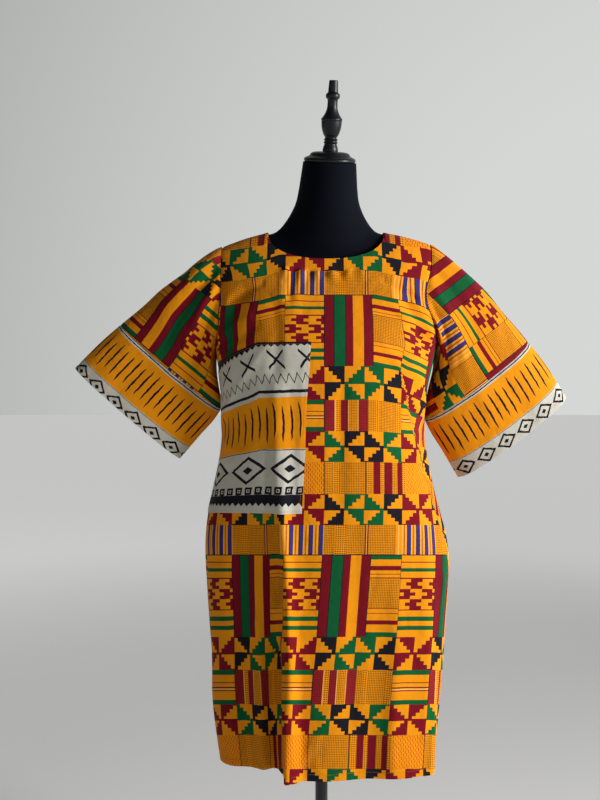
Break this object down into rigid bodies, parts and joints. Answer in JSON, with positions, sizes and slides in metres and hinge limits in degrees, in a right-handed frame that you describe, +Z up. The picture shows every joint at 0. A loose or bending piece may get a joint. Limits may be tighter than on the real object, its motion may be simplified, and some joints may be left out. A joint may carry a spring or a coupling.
{
  "type": "kente shirt dress on a limbless dress form",
  "caption": "Pull-on shirt dress of kente print with wide elbow sleeves, deep cuff bands and a patch, worn by a black dress form with a turned finial, a pole and a round base.",
  "frame": {"origin": "middle of the underside of the stand's round base", "axes": "+Z up along the pole, the front of the dress faces -Y, +X to the right of a viewer who faces the front"},
  "size_m": [0.954, 0.34, 1.7147],
  "materials": {
    "kente_print": "matt printed cotton",
    "border_print": "matt printed cotton",
    "jersey": "matt black jersey over foam",
    "lacquer": "gloss black lacquer",
    "steel": "satin black",
    "base_paint": "gloss black"
  },
  "bodies": {
    "root": {"front_panel": "kente_print", "back_panel": "kente_print", "left_sleeve": "kente_print", "right_sleeve": "kente_print", "left_cuff_band": "border_print", "right_cuff_band": "border_print", "front_patch": "border_print", "form_torso": "jersey", "neck_cap": "lacquer", "finial": "lacquer", "pole": "steel", "stand_base": "base_paint"}
  },
  "joints": []
}
